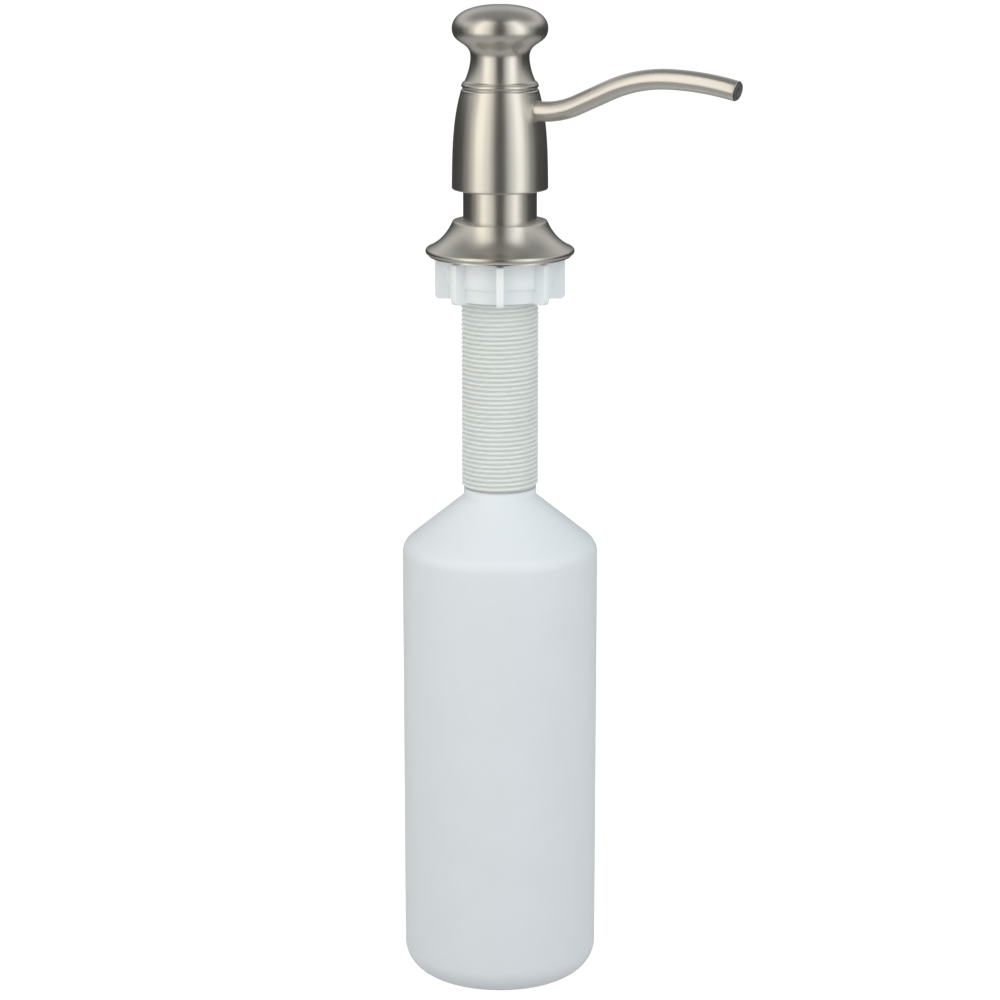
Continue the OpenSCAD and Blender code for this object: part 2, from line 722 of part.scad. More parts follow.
module deck_gasket() {
    color("dimgray")
    ring(escutcheon_r - escutcheon_foot - gasket_gap, shank_r + gasket_bore_gap, 0, deck_gasket_t);
}

module shank() {
    root_r = shank_r - shank_thread_depth;
    crest = thread_crest * shank_pitch;
    flank = thread_flank * shank_pitch;
    thread = [for (k = [0:thread_turns - 1]) let (z = thread_top_z - k * shank_pitch) each
        [[shank_r, z], [root_r, z - flank], [root_r, z - flank - crest],
         [shank_r, z - shank_pitch + crest]]];
    color("honeydew")
    rotate_extrude()
    polygon(concat(
        [[spigot_bore_r, spigot_top_z], [spigot_r - chamfer, spigot_top_z],
         [spigot_r, spigot_top_z - chamfer], [spigot_r, collar_z],
         [shank_head_r - shank_head_edge, collar_z], [shank_head_r, collar_z - shank_head_edge],
         [shank_head_r, deck_gasket_t], [shank_r, deck_gasket_t]],
        thread,
        [[shank_r, -shank_l + thread_end_chamfer], [root_r, -shank_l], [shank_bore_r, -shank_l],
         [shank_bore_r, deck_gasket_t], [spigot_bore_r, deck_gasket_t + chamfer]]));
}

// ---- Nut and washer ---------------------------------------------------------------------

module clamp_washer() {
    color("white") ring(washer_r, nut_bore_r, washer_top_z - washer_t, washer_top_z);
}

module wing() {
    rotate([90, 0, 0]) translate([0, 0, -wing_t / 2]) linear_extrude(height = wing_t)
    polygon(concat(
        [[nut_skirt_r - wing_depth, nut_top_z - wing_top_gap],
         [wing_r - wing_top_edge, nut_top_z - wing_top_gap],
         [wing_r, nut_top_z - wing_top_gap - wing_top_edge]],
        arc([wing_r - wing_corner, nut_bottom_z + wing_corner], wing_corner, 0, -90, 6),
        [[nut_skirt_r - wing_depth, nut_bottom_z]]));
}

module mounting_nut() {
    skirt_z = nut_bottom_z + nut_hub_gap;
    color("azure")
    difference() {
        union() {
            translate([0, 0, skirt_z + nut_skirt_h])
                cylinder(r = nut_hub_r, h = nut_top_z - skirt_z - nut_skirt_h);
            translate([0, 0, skirt_z]) cylinder(r = nut_skirt_r, h = nut_skirt_h + eps);
            for (k = [0:wing_count - 1])
                rotate([0, 0, wing_phase + 360 * k / wing_count]) wing();
        }
        translate([0, 0, nut_bottom_z - cut]) cylinder(r = nut_bore_r, h = nut_h + 2 * cut);
    }
}

// ---- Bottle -----------------------------------------------------------------------------

module bottle_seal() {
    color("dimgray")
    ring(neck_r - bottle_seal_gap[0], finish_r + bottle_seal_gap[1],
         neck_top_z + face_gap, -shank_l - face_gap);
}

// The bottle's side below the neck, pulled in by the distance d, down to the base's edge
function bottle_side(d) =
    let (a = shoulder_angle, r = bottle_r - d, round_r = shoulder_round - d,
         edge_z = neck_base_z - (bottle_r - neck_r) * tan(a),
         shoulder_c = [bottle_r - shoulder_round, edge_z - shoulder_round * tan(45 - a / 2)],
         foot_c = [bottle_foot_r - base_round, bottle_base_z + base_round])
    concat(arc(shoulder_c, round_r, 90 - a, 0), arc(foot_c, base_round - d, 0, -90));

module bottle() {
    a = shoulder_angle;
    inner = bottle_side(bottle_wall);
    cone_drop = bottle_wall / cos(a) - (neck_r - finish_bore_r) * tan(a);
    foot_r = bottle_foot_r - base_round - foot_ring_w;
    color("aliceblue")
    rotate_extrude()
    polygon(concat(
        [[finish_bore_r, neck_top_z + finish_h], [finish_r - chamfer, neck_top_z + finish_h],
         [finish_r, neck_top_z + finish_h - chamfer], [finish_r, neck_top_z],
         [neck_r - chamfer, neck_top_z], [neck_r, neck_top_z - chamfer], [neck_r, neck_base_z]],
        bottle_side(0),
        [[foot_r, bottle_base_z],
         [foot_r - hollow_slope_w, bottle_base_z + hollow_slope * base_hollow],
         [0, bottle_base_z + base_hollow], [0, base_floor_z],
         [foot_r - hollow_slope_w, base_floor_z - (1 - hollow_slope) * base_hollow],
         [foot_r, bottle_base_z + bottle_wall]],
        [for (i = [len(inner) - 1:-1:0]) inner[i]],
        [[finish_bore_r, neck_base_z - cone_drop]]));
}

head_shell();
head_core();
guide_bush();
spout_tube();
spout_liner();
spout_seal();
nozzle_insert();
pump_stem();
piston();
piston_seal();
outlet_ball();
pump_cap();
stem_seal();
pump_cylinder();
cylinder_gasket();
ball_cage();
inlet_ball();
return_spring();
dip_tube();
collar();
escutcheon();
deck_gasket();
shank();
clamp_washer();
mounting_nut();
bottle_seal();
bottle();
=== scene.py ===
# Counter-mounted soap pump dispenser: a brushed nickel pump head with a long spout, its
# escutcheon, and the plastic shank, nut and bottle that hang under the counter.
import bpy
from math import cos, pi, radians, sin, tan
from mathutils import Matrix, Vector


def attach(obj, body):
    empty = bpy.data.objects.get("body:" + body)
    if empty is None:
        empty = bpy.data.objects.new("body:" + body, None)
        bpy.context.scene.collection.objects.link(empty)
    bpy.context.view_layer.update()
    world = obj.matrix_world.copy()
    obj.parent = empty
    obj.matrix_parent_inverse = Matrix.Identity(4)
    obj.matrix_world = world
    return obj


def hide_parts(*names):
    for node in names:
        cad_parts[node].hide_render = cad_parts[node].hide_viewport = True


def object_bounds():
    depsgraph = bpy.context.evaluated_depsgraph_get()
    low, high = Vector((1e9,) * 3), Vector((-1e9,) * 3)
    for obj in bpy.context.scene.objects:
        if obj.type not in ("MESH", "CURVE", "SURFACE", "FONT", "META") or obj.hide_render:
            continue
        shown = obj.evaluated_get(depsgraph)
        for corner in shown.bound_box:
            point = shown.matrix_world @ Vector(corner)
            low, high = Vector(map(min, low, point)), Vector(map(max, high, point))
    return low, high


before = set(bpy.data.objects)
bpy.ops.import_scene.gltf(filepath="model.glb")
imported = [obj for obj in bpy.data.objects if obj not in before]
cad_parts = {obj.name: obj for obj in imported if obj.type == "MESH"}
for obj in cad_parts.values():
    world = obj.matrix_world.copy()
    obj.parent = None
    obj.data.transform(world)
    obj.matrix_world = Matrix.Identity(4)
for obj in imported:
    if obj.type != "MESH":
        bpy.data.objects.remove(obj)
cad_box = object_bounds()
MM = 0.001

# ---- Studio: camera, lamps, floor and surroundings --------------------------------------
# A long lens looks slightly down on the dispenser, with the spout turned towards it. Two pairs
# of upright soft panels give the metal its bright bands, and a white sweep stands behind it.
camera_azimuth = radians(-62)
camera_elevation = radians(13.5)
aim = Vector((0, 0, -0.081))


def direction(azimuth, elevation):
    return Vector((cos(azimuth) * cos(elevation), sin(azimuth) * cos(elevation), sin(elevation)))


towards_camera = direction(camera_azimuth, camera_elevation)
bpy.ops.object.select_all(action="DESELECT")
bpy.ops.object.camera_add(location=aim + towards_camera,
                          rotation=towards_camera.to_track_quat("Z", "Y").to_euler())
camera = bpy.context.object
camera.name = "camera"
camera.data.lens = 109.8
camera.data.sensor_width = 36
bpy.context.scene.camera = camera

warm_light = (1.0, 0.945, 0.86)
clean_light = (1.0, 0.985, 0.945)
lamp_distance = 0.8
lamp_foot = -0.25
lamp_top = 1.9
# Strips of each bank of panels: edges in degrees round from the camera, and brightness
for bank, sign, colour, strips in (
        ("left", -1, warm_light, ((14, 24, 0.55), (24, 40, 1.05), (40, 64, 1.42), (64, 80, 0.62),
                                  (80, 98, 0.2))),
        ("right", 1, clean_light, ((14, 24, 0.5), (24, 38, 0.9), (38, 60, 1.42), (60, 74, 0.7),
                                   (74, 92, 0.22)))):
    for number, (near, far, radiance) in enumerate(strips, 1):
        outward = direction(camera_azimuth + sign * radians((near + far) / 2), 0)
        bpy.ops.object.light_add(
            type="AREA", rotation=outward.to_track_quat("Z", "Y").to_euler(),
            location=outward * lamp_distance + Vector((0, 0, (lamp_top + lamp_foot) / 2)))
        lamp = bpy.context.object
        lamp.name = f"{bank}_panel_{number}"
        lamp.data.shape = "RECTANGLE"
        lamp.data.size = 2 * lamp_distance * tan(radians(far - near) / 2)
        lamp.data.size_y = lamp_top - lamp_foot
        lamp.data.energy = radiance * pi * lamp.data.size * lamp.data.size_y
        lamp.data.color = colour
        lamp.visible_camera = False


def new_material(name):
    """A new material whose node tree is empty, and that node tree."""
    material = bpy.data.materials.new(name)
    material.use_nodes = True
    tree = material.node_tree
    tree.nodes.clear()
    return material, tree


def add_node(tree, kind, values=(), **settings):
    """Adds a node; values are (input name or number, constant or the output that feeds it)."""
    node = tree.nodes.new(kind)
    for key, value in settings.items():
        setattr(node, key, value)
    for key, value in values:
        if isinstance(value, bpy.types.NodeSocket):
            tree.links.new(value, node.inputs[key])
        else:
            node.inputs[key].default_value = value
    return node


floor_drop = 0.013
floor_z = cad_box[0][2] - floor_drop
floor_size = 30
bpy.ops.object.select_all(action="DESELECT")
bpy.ops.mesh.primitive_plane_add(size=floor_size, location=(0, 0, floor_z))
bpy.ops.object.transform_apply(location=True)
floor = bpy.context.object
floor.name = "floor"
material, tree = new_material("pale_floor")
floor.data.materials.append(material)
path = add_node(tree, "ShaderNodeLightPath")
place = add_node(tree, "ShaderNodeTexCoord").outputs["Object"]
reach = add_node(tree, "ShaderNodeVectorMath", [(0, place)], operation="LENGTH").outputs["Value"]
fade = add_node(tree, "ShaderNodeMapRange", [
    ("Value", reach), ("From Min", 0.35), ("From Max", 0.95), ("To Min", 0.46), ("To Max", 0.045)],
    interpolation_type="SMOOTHSTEP").outputs["Result"]
mirrored = add_node(tree, "ShaderNodeEmission", [("Strength", fade), ("Color", (1, 0.985, 0.95, 1))])
painted = add_node(tree, "ShaderNodeBsdfDiffuse", [("Color", (0.85, 0.85, 0.85, 1))])
glow = add_node(tree, "ShaderNodeEmission", [("Color", (1, 1, 1, 1)), ("Strength", 0.62)])
seen = add_node(tree, "ShaderNodeAddShader", [(0, painted.outputs[0]), (1, glow.outputs[0])])
bounce = add_node(tree, "ShaderNodeEmission", [("Color", (1, 1, 1, 1)), ("Strength", 0.5)])
by_camera = add_node(tree, "ShaderNodeMixShader", [(0, path.outputs["Is Camera Ray"]),
                                                   (1, bounce.outputs[0]), (2, seen.outputs[0])])
by_gloss = add_node(tree, "ShaderNodeMixShader", [(0, path.outputs["Is Glossy Ray"]),
                                                  (1, by_camera.outputs[0]), (2, mirrored.outputs[0])])
add_node(tree, "ShaderNodeOutputMaterial", [("Surface", by_gloss.outputs[0])])

world = bpy.data.worlds.new("studio")
bpy.context.scene.world = world
world.use_nodes = True
tree = world.node_tree
tree.nodes.clear()
path = add_node(tree, "ShaderNodeLightPath")
sky = add_node(tree, "ShaderNodeTexCoord").outputs["Generated"]
height = add_node(tree, "ShaderNodeSeparateXYZ", [("Vector", sky)]).outputs["Z"]
# The lit sweep stands behind: bright above its foot, duller overhead, dark on the camera's side
sweep_foot = add_node(tree, "ShaderNodeMapRange", [
    ("Value", height), ("From Min", 0.05), ("From Max", 0.7)],
    interpolation_type="SMOOTHSTEP").outputs["Result"]
sweep_light = add_node(tree, "ShaderNodeMapRange", [
    ("Value", height), ("From Min", 0.3), ("From Max", 0.82), ("To Min", 1.1), ("To Max", 0.22)],
    interpolation_type="SMOOTHSTEP").outputs["Result"]
lit = add_node(tree, "ShaderNodeMath", [(0, sweep_foot), (1, sweep_light)],
               operation="MULTIPLY").outputs[0]
behind = add_node(tree, "ShaderNodeVectorMath", [(0, sky), (1, -direction(camera_azimuth, 0))],
                  operation="DOT_PRODUCT").outputs["Value"]
share = add_node(tree, "ShaderNodeMapRange", [("Value", behind), ("From Min", -0.45), ("From Max", 0.15)],
                 interpolation_type="SMOOTHSTEP").outputs["Result"]
ceiling = add_node(tree, "ShaderNodeMath", [(0, lit), (1, share), (2, 0.05)],
                   operation="MULTIPLY_ADD").outputs[0]
gloss = add_node(tree, "ShaderNodeBackground", [("Color", (1, 0.985, 0.96, 1)), ("Strength", ceiling)])
fill = add_node(tree, "ShaderNodeBackground", [("Color", (0.93, 0.97, 1, 1)), ("Strength", 0.55)])
sweep = add_node(tree, "ShaderNodeBackground", [("Color", (1, 1, 1, 1)), ("Strength", 1.0)])
by_camera = add_node(tree, "ShaderNodeMixShader", [(0, path.outputs["Is Camera Ray"]),
                                                   (1, fill.outputs[0]), (2, sweep.outputs[0])])
by_gloss = add_node(tree, "ShaderNodeMixShader", [(0, path.outputs["Is Glossy Ray"]),
                                                  (1, by_camera.outputs[0]), (2, gloss.outputs[0])])
add_node(tree, "ShaderNodeOutputWorld", [("Surface", by_gloss.outputs[0])])
bpy.context.scene.view_settings.view_transform = "Standard"


# ---- Shank ------------------------------------------------------------------------------
# One moulding of slightly creamy plastic: a plain spigot that stands inside the sleeve, a head
# that rests on the counter under the escutcheon, and a long thread for the nut below it.
def drawn(name, outline):
    """Draws a line through points, (radius, height) in millimetres, and stays in edit mode."""
    bpy.ops.object.select_all(action="DESELECT")
    bpy.ops.mesh.primitive_plane_add(size=MM)
    piece = bpy.context.object
    piece.name = name
    bpy.ops.object.mode_set(mode="EDIT")
    bpy.ops.mesh.merge(type="CENTER")
    radius, height = outline[0]
    bpy.ops.transform.translate(value=(radius * MM, 0, height * MM))
    for next_radius, next_height in outline[1:]:
        step = ((next_radius - radius) * MM, 0, (next_height - height) * MM)
        bpy.ops.mesh.extrude_vertices_move(TRANSFORM_OT_translate={"value": step})
        radius, height = next_radius, next_height
    return piece


def turned(name, outline, steps=128):
    """Turns a closed outline, (radius, height) in millimetres, about the pump's axis."""
    piece = drawn(name, outline + outline[:1])
    bpy.ops.mesh.select_all(action="SELECT")
    bpy.ops.mesh.spin(steps=steps, angle=2 * pi, center=(0, 0, 0), axis=(0, 0, 1))
    bpy.ops.mesh.select_all(action="SELECT")
    bpy.ops.mesh.remove_doubles(threshold=1e-6)
    bpy.ops.mesh.normals_make_consistent(inside=False)
    bpy.ops.object.mode_set(mode="OBJECT")
    return piece


def arc(centre, radius, start, end, steps=8):
    """Points of a circle's arc about centre, from one angle to another in degrees."""
    angles = [radians(start + (end - start) * i / steps) for i in range(steps + 1)]
    return [(centre[0] + radius * cos(a), centre[1] + radius * sin(a)) for a in angles]


def curve(start, lead, follow, end, steps=20):
    """Points of a cubic curve, without its first point."""
    points = []
    for i in range(1, steps + 1):
        t = i / steps
        weights = ((1 - t) ** 3, 3 * (1 - t) ** 2 * t, 3 * (1 - t) * t * t, t ** 3)
        points.append(tuple(sum(w * p[k] for w, p in zip(weights, (start, lead, follow, end)))
                            for k in (0, 1)))
    return points


def finished(piece, angle=35, edge=0.0, segments=2):
    """Rounds the sharp edges by edge millimetres and shades the rest smooth."""
    bpy.ops.object.select_all(action="DESELECT")
    piece.select_set(True)
    bpy.context.view_layer.objects.active = piece
    if edge:
        bevel = piece.modifiers.new("edge", "BEVEL")
        bevel.limit_method = "ANGLE"
        bevel.angle_limit = radians(angle)
        bevel.width = edge * MM
        bevel.segments = segments
        bpy.ops.object.modifier_apply(modifier=bevel.name)
    bpy.ops.object.shade_smooth_by_angle(angle=radians(angle))


def effect_group(name, inputs, outputs):
    """A new shader node group with named sockets, its input node and its output node."""
    group = bpy.data.node_groups.new(name, "ShaderNodeTree")
    for socket, value in inputs:
        kind = "NodeSocketColor" if isinstance(value, tuple) else "NodeSocketFloat"
        group.interface.new_socket(socket, in_out="INPUT", socket_type=kind).default_value = value
    for socket, kind in outputs:
        group.interface.new_socket(socket, in_out="OUTPUT", socket_type=kind)
    return group, group.nodes.new("NodeGroupInput"), group.nodes.new("NodeGroupOutput")


# Moulded surface: cloudy colour inside the plastic, paler edges that are partly wear and partly a painted
# highlight, and a fine skin
moulding, given, result = effect_group(
    "moulded_skin",
    [("Colour", (0.8, 0.8, 0.8, 1)), ("Cloud Colour", (0.7, 0.7, 0.7, 1)),
     ("Cloud Size", 60.0), ("Roughness", 0.4), ("Skin Scale", 2500.0)],
    [("Colour", "NodeSocketColor"), ("Roughness", "NodeSocketFloat"), ("Skin", "NodeSocketFloat")])
place = add_node(moulding, "ShaderNodeTexCoord").outputs["Object"]
clouds = add_node(moulding, "ShaderNodeTexNoise", [
    ("Vector", place), ("Scale", given.outputs["Cloud Size"]), ("Detail", 3.0)]).outputs["Fac"]
cloud_mask = add_node(moulding, "ShaderNodeMapRange", [
    ("Value", clouds), ("From Min", 0.35), ("From Max", 0.7)]).outputs["Result"]
clouded = add_node(moulding, "ShaderNodeMix", [
    ("Factor", cloud_mask), (6, given.outputs["Colour"]), (7, given.outputs["Cloud Colour"])],
    data_type="RGBA")
# Partly wear, partly painted highlight: every sharp convex edge is painted paler
edges = add_node(moulding, "ShaderNodeNewGeometry").outputs["Pointiness"]
worn_and_highlit_edge_mask = add_node(moulding, "ShaderNodeMapRange", [
    ("Value", edges), ("From Min", 0.53), ("From Max", 0.62), ("To Max", 0.35)]).outputs["Result"]
pale = add_node(moulding, "ShaderNodeMix", [
    ("Factor", worn_and_highlit_edge_mask), (6, clouded.outputs[2]), (7, (0.93, 0.94, 0.94, 1))], data_type="RGBA")
skin = add_node(moulding, "ShaderNodeTexNoise", [
    ("Vector", place), ("Scale", given.outputs["Skin Scale"]), ("Detail", 2.0)]).outputs["Fac"]
uneven = add_node(moulding, "ShaderNodeMath", [(0, clouds), (1, 0.16), (2, given.outputs["Roughness"])],
                  operation="MULTIPLY_ADD").outputs[0]
moulding.links.new(pale.outputs[2], result.inputs["Colour"])
moulding.links.new(uneven, result.inputs["Roughness"])
moulding.links.new(skin, result.inputs["Skin"])


def plastic(name, colour, cloud, roughness=0.35, bump=0.04, depth=0.35, skin_scale=2500.0):
    """Moulded plastic that lets some light in under its surface."""
    material, tree = new_material(name)
    effect = add_node(tree, "ShaderNodeGroup")
    effect.node_tree = moulding
    effect.inputs["Colour"].default_value = (*colour, 1)
    effect.inputs["Cloud Colour"].default_value = (*cloud, 1)
    effect.inputs["Roughness"].default_value = roughness
    effect.inputs["Skin Scale"].default_value = skin_scale
    relief = add_node(tree, "ShaderNodeBump", [("Height", effect.outputs["Skin"]), ("Strength", bump),
                                               ("Distance", 0.0002)])
    shader = add_node(tree, "ShaderNodeBsdfPrincipled", [
        ("Base Color", effect.outputs["Colour"]), ("Roughness", effect.outputs["Roughness"]),
        ("Normal", relief.outputs["Normal"]), ("Subsurface Weight", depth),
        ("Subsurface Radius", (1.0, 0.95, 0.9)), ("Subsurface Scale", 0.004)])
    add_node(tree, "ShaderNodeOutputMaterial", [("Surface", shader.outputs[0])])
    return material


shank_r = 12.5
thread_root_r = 11.8
pitch = 1.5
shank_bore_r = 10.3
spigot_r = 11.18
spigot_top = 22.6
shank_end = -75.5
thread_top = 0.8
head_r = 18.66
head_top = 3.6
core_r = thread_root_r - 0.02
# One tooth of the thread, turned up along a right-hand helix
thread_start = shank_end - 2 * pitch
tooth = [(thread_root_r, 0), (thread_root_r, 0.26), (thread_root_r + 0.12, 0.36), (shank_r - 0.1, 0.82),
         (shank_r, 0.9), (shank_r, 1.14), (shank_r - 0.1, 1.22), (thread_root_r + 0.1, 1.44),
         (thread_root_r, pitch)]
shank = drawn("threaded_shank", [(radius, thread_start + height) for radius, height in tooth])
bpy.ops.object.mode_set(mode="OBJECT")
helix = shank.modifiers.new("helix", "SCREW")
helix.angle = 2 * pi
helix.screw_offset = pitch * MM
helix.iterations = int((thread_top - thread_start) / pitch) + 2
helix.steps = 96
helix.render_steps = 96
helix.use_merge_vertices = True
helix.merge_threshold = 1e-6
bpy.ops.object.modifier_apply(modifier=helix.name)
bpy.ops.object.mode_set(mode="EDIT")
bpy.ops.mesh.select_all(action="SELECT")
bpy.ops.mesh.remove_doubles(threshold=2e-6)
bpy.ops.mesh.bisect(plane_co=(0, 0, shank_end * MM), plane_no=(0, 0, -1), clear_outer=True)
bpy.ops.mesh.select_all(action="SELECT")
bpy.ops.mesh.bisect(plane_co=(0, 0, thread_top * MM), plane_no=(0, 0, 1), clear_outer=True)
bpy.ops.object.mode_set(mode="OBJECT")
body_of_shank = turned("shank_body", [
    (shank_bore_r, shank_end), (core_r, shank_end), (core_r, thread_top),
    (head_r - 0.3, thread_top), (head_r, thread_top + 0.3), (head_r, head_top - 0.4),
    (head_r - 0.4, head_top), (spigot_r, head_top),
    (spigot_r, spigot_top - 0.3), (spigot_r - 0.3, spigot_top), (shank_bore_r, spigot_top),
    (shank_bore_r, thread_top + 0.6), (shank_bore_r, thread_top)])
finished(body_of_shank)
finished(shank, angle=50)
bpy.ops.object.select_all(action="DESELECT")
shank.select_set(True)
body_of_shank.select_set(True)
bpy.context.view_layer.objects.active = shank
bpy.ops.object.join()
shank_plastic = plastic("shank_cream_plastic", (0.88, 0.93, 0.91), (0.84, 0.89, 0.86), roughness=0.38)
shank.data.materials.clear()
shank.data.materials.append(shank_plastic)
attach(shank, "deck_unit")
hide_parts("shank")


# ---- Sleeve -----------------------------------------------------------------------------
# A drawn brass tube with a brushed nickel finish. It is pressed over the shank's spigot, and
# the pump's head slides on it.
# Brushed finish: fine lines around the axis, cloudy handling marks, and sharp edges painted lighter, partly
# as rubbed plate and partly as a painted highlight
brushing, given, result = effect_group(
    "brushed_lines",
    [("Along X", 12.0), ("Along Y", 12.0), ("Along Z", 9000.0), ("Along Radius", -5400.0)],
    [("Lines", "NodeSocketFloat"), ("Colour", "NodeSocketColor"), ("Roughness", "NodeSocketFloat")])
place = add_node(brushing, "ShaderNodeTexCoord").outputs["Object"]
axes = add_node(brushing, "ShaderNodeSeparateXYZ", [("Vector", place)])
flat = add_node(brushing, "ShaderNodeCombineXYZ", [("X", axes.outputs["X"]), ("Y", axes.outputs["Y"])])
reach = add_node(brushing, "ShaderNodeVectorMath", [(0, flat.outputs[0])],
                 operation="LENGTH").outputs["Value"]
across_z = add_node(brushing, "ShaderNodeMath", [(0, axes.outputs["Z"]), (1, given.outputs["Along Z"])],
                    operation="MULTIPLY").outputs[0]
across = add_node(brushing, "ShaderNodeMath", [(0, reach), (1, given.outputs["Along Radius"]), (2, across_z)],
                  operation="MULTIPLY_ADD").outputs[0]
along_x = add_node(brushing, "ShaderNodeMath", [(0, axes.outputs["X"]), (1, given.outputs["Along X"])],
                   operation="MULTIPLY").outputs[0]
along_y = add_node(brushing, "ShaderNodeMath", [(0, axes.outputs["Y"]), (1, given.outputs["Along Y"])],
                   operation="MULTIPLY").outputs[0]
strokes = add_node(brushing, "ShaderNodeCombineXYZ", [("X", along_x), ("Y", along_y), ("Z", across)])
lines = add_node(brushing, "ShaderNodeTexNoise", [("Vector", strokes.outputs[0]), ("Scale", 1.0),
                                                  ("Detail", 4.0), ("Roughness", 0.65)]).outputs["Fac"]
marks = add_node(brushing, "ShaderNodeTexNoise", [("Vector", place), ("Scale", 70.0),
                                                  ("Detail", 4.0)]).outputs["Fac"]
tone = add_node(brushing, "ShaderNodeMix", [("Factor", lines), (6, (0.605, 0.59, 0.55, 1)),
                                            (7, (0.735, 0.72, 0.68, 1))], data_type="RGBA").outputs[2]
# Painted highlight, partly rubbed plate: every sharp convex edge is painted a lighter nickel
rubbed_edge_highlight = add_node(brushing, "ShaderNodeMapRange", [
    ("Value", add_node(brushing, "ShaderNodeNewGeometry").outputs["Pointiness"]),
    ("From Min", 0.54), ("From Max", 0.64), ("To Max", 0.5)]).outputs["Result"]
bright = add_node(brushing, "ShaderNodeMix", [("Factor", rubbed_edge_highlight), (6, tone), (7, (0.86, 0.84, 0.79, 1))],
                  data_type="RGBA").outputs[2]
brushing.links.new(bright, result.inputs["Colour"])
brushing.links.new(lines, result.inputs["Lines"])
rough = add_node(brushing, "ShaderNodeMath", [(0, lines), (1, 0.12), (2, 0.2)],
                 operation="MULTIPLY_ADD").outputs[0]
rough = add_node(brushing, "ShaderNodeMath", [(0, marks), (1, 0.08), (2, rough)],
                 operation="MULTIPLY_ADD").outputs[0]
brushing.links.new(rough, result.inputs["Roughness"])


def nickel(name, line_scales=(12.0, 12.0, 9000.0, -5400.0), stretch=0.5, bump=0.12):
    """Satin nickel plate, brushed along the lines that the four scales give."""
    material, tree = new_material(name)
    effect = add_node(tree, "ShaderNodeGroup")
    effect.node_tree = brushing
    for socket, value in zip(effect.inputs, line_scales):
        socket.default_value = value
    relief = add_node(tree, "ShaderNodeBump", [("Height", effect.outputs["Lines"]), ("Strength", bump),
                                               ("Distance", 0.00003)])
    shader = add_node(tree, "ShaderNodeBsdfPrincipled", [
        ("Base Color", effect.outputs["Colour"]), ("Roughness", effect.outputs["Roughness"]),
        ("Normal", relief.outputs["Normal"]), ("Metallic", 1.0)])
    if stretch:
        tangent = add_node(tree, "ShaderNodeTangent", direction_type="RADIAL", axis="Z")
        shader.inputs["Anisotropic"].default_value = stretch
        shader.inputs["Anisotropic Rotation"].default_value = 0.25
        tree.links.new(tangent.outputs[0], shader.inputs["Tangent"])
    add_node(tree, "ShaderNodeOutputMaterial", [("Surface", shader.outputs[0])])
    return material


turned_nickel = nickel("brushed_nickel")
sleeve_r = 11.85
sleeve_bore_r = 11.2
sleeve_top = 29.6
escutcheon_top = 11.3
sleeve = turned("sleeve", [
    (sleeve_bore_r, head_top), (sleeve_r, head_top), (sleeve_r, escutcheon_top), (sleeve_r, 21.0),
    *arc((sleeve_r - 0.3, sleeve_top - 0.3), 0.3, 0, 90, 5), (sleeve_bore_r, sleeve_top)])
finished(sleeve)
sleeve.data.materials.append(turned_nickel)
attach(sleeve, "deck_unit")
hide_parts("collar")

# ---- Escutcheon and its gasket ----------------------------------------------------------
# The flared ring that covers the hole in the counter. It is turned from brass, brushed and
# plated, is hollow underneath, and sits on a black rubber gasket.
escutcheon_bore_r = sleeve_r + 0.02
foot_ring_r = 22.9
flare_top = (15.25, 11.1)
flare_foot = (23.38, 2.51)
flare_side = [flare_top, *curve(flare_top, (16.56, 7.94), (19.02, 4.43), flare_foot, 18)]
rim = arc((22.95, 1.55), 1.05, 66, -90, 16)[1:]
escutcheon = turned("escutcheon_ring", [
    (escutcheon_bore_r, escutcheon_top), (15.0, escutcheon_top), (15.12, escutcheon_top - 0.04),
    *flare_side, *rim, (foot_ring_r, 0.45), (foot_ring_r, 0), (foot_ring_r - 0.9, 0),
    (22.3, 1.6), (20.2, 3.1), (18.6, 4.5), (16.9, 6.4), (15.4, 8.6), (14.3, 10.0),
    (escutcheon_bore_r, 10.1)])
finished(escutcheon)
escutcheon.data.materials.append(turned_nickel)
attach(escutcheon, "deck_unit")
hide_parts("escutcheon")


def rubber(name, colour, cloud):
    """Soft rubber: matt, slightly dusty and without light inside."""
    return plastic(name, colour, cloud, roughness=0.62, bump=0.15, depth=0.0, skin_scale=1600.0)


def give(material, *nodes):
    """Gives a material to the frame's own pieces."""
    for name in nodes:
        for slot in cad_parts[name].material_slots:
            slot.material = material


black_rubber = rubber("black_rubber", (0.025, 0.026, 0.027), (0.05, 0.05, 0.05))
give(black_rubber, "deck_gasket")

